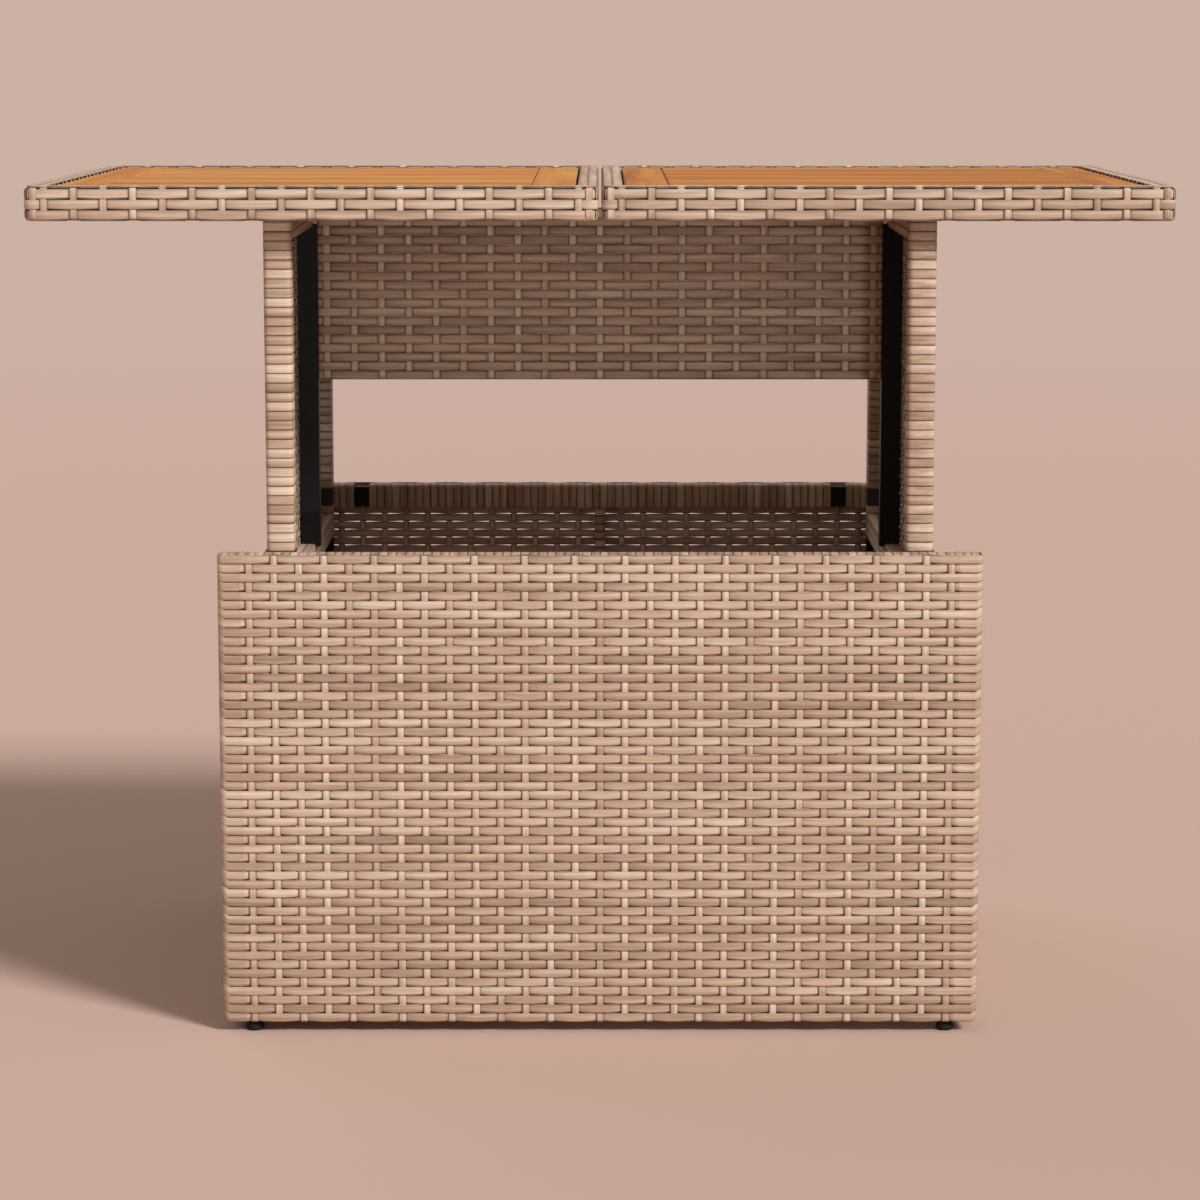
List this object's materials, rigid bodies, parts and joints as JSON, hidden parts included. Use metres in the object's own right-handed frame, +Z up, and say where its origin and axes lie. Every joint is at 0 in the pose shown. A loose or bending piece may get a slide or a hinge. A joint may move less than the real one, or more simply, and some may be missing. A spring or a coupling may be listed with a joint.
{
  "type": "height-adjustable garden table",
  "caption": "Woven garden table whose boarded top lifts from coffee height to dining height on side frames that slide in guides in a woven base box and are held by clamp screws.",
  "frame": {"origin": "on the floor, under the middle of the table", "axes": "+X along the long side of the top to the right, +Y to the back, +Z up"},
  "size_m": [1, 0.55, 0.755],
  "materials": {
    "wicker": "flat synthetic rattan strands, light brown with darker and paler rows",
    "acacia": "oiled acacia boards",
    "black_steel": "black powder coat",
    "zinc_steel": "zinc-plated fasteners",
    "black_nylon": "moulded black nylon",
    "black_rubber": "moulded black rubber"
  },
  "bodies": {
    "base": {"base_back_frame": "black_steel", "base_back_weave": "wicker", "base_front_frame": "black_steel", "base_front_weave": "wicker", "base_left_frame": "black_steel", "base_left_weave": "wicker", "base_panel_bolts": "zinc_steel", "base_right_frame": "black_steel", "base_right_weave": "wicker", "bracket_screws": "zinc_steel", "clamp_brackets": "black_steel", "foot_inserts": "zinc_steel", "guide_channel_back_left": "black_steel", "guide_channel_back_right": "black_steel", "guide_channel_front_left": "black_steel", "guide_channel_front_right": "black_steel"},
    "lift": {"clamp_collars": "black_nylon", "cross_panel_bolts": "zinc_steel", "cross_panel_frame": "black_steel", "cross_panel_weave": "wicker", "guide_shoes": "black_nylon", "leaf_left_end_board_inner": "acacia", "leaf_left_end_board_outer": "acacia", "leaf_left_frame": "black_steel", "leaf_left_slat_1": "acacia", "leaf_left_slat_2": "acacia", "leaf_left_slat_3": "acacia", "leaf_left_slat_4": "acacia", "leaf_left_slat_5": "acacia", "leaf_left_weave": "wicker", "leaf_right_end_board_inner": "acacia", "leaf_right_end_board_outer": "acacia", "leaf_right_frame": "black_steel", "leaf_right_slat_1": "acacia", "leaf_right_slat_2": "acacia", "leaf_right_slat_3": "acacia", "leaf_right_slat_4": "acacia", "leaf_right_slat_5": "acacia", "leaf_right_weave": "wicker", "lift_left_frame": "black_steel", "lift_left_weave": "wicker", "lift_right_frame": "black_steel", "lift_right_weave": "wicker", "shoe_screws": "zinc_steel", "slat_screws": "zinc_steel", "top_bolts": "zinc_steel"},
    "clamp_front_left": {"clamp_knob_front_left": "black_nylon", "clamp_screw_front_left": "zinc_steel"},
    "foot_front_left": {"foot_front_left": "black_rubber"},
    "clamp_front_right": {"clamp_knob_front_right": "black_nylon", "clamp_screw_front_right": "zinc_steel"},
    "foot_front_right": {"foot_front_right": "black_rubber"},
    "clamp_back_left": {"clamp_knob_back_left": "black_nylon", "clamp_screw_back_left": "zinc_steel"},
    "foot_back_left": {"foot_back_left": "black_rubber"},
    "clamp_back_right": {"clamp_knob_back_right": "black_nylon", "clamp_screw_back_right": "zinc_steel"},
    "foot_back_right": {"foot_back_right": "black_rubber"}
  },
  "joints": [
    {"name": "lift_slide", "type": "slide", "parent": "base", "child": "lift", "axis": [0, 0, 1], "range_m": [-0.288, 0]},
    {"name": "clamp_front_left_turn", "type": "hinge", "parent": "base", "child": "clamp_front_left", "pos_m": [-0.31, -0.2335, 0.418], "axis": [-1, 0, 0], "continuous": true},
    {"name": "foot_front_left_turn", "type": "hinge", "parent": "base", "child": "foot_front_left", "pos_m": [-0.31, -0.2605, 0], "axis": [0, 0, 1], "continuous": true},
    {"name": "clamp_front_right_turn", "type": "hinge", "parent": "base", "child": "clamp_front_right", "pos_m": [0.31, -0.2335, 0.418], "axis": [1, 0, 0], "continuous": true},
    {"name": "foot_front_right_turn", "type": "hinge", "parent": "base", "child": "foot_front_right", "pos_m": [0.31, -0.2605, 0], "axis": [0, 0, 1], "continuous": true},
    {"name": "clamp_back_left_turn", "type": "hinge", "parent": "base", "child": "clamp_back_left", "pos_m": [-0.31, 0.2335, 0.418], "axis": [-1, 0, 0], "continuous": true},
    {"name": "foot_back_left_turn", "type": "hinge", "parent": "base", "child": "foot_back_left", "pos_m": [-0.31, 0.2605, 0], "axis": [0, 0, 1], "continuous": true},
    {"name": "clamp_back_right_turn", "type": "hinge", "parent": "base", "child": "clamp_back_right", "pos_m": [0.31, 0.2335, 0.418], "axis": [1, 0, 0], "continuous": true},
    {"name": "foot_back_right_turn", "type": "hinge", "parent": "base", "child": "foot_back_right", "pos_m": [0.31, 0.2605, 0], "axis": [0, 0, 1], "continuous": true}
  ]
}
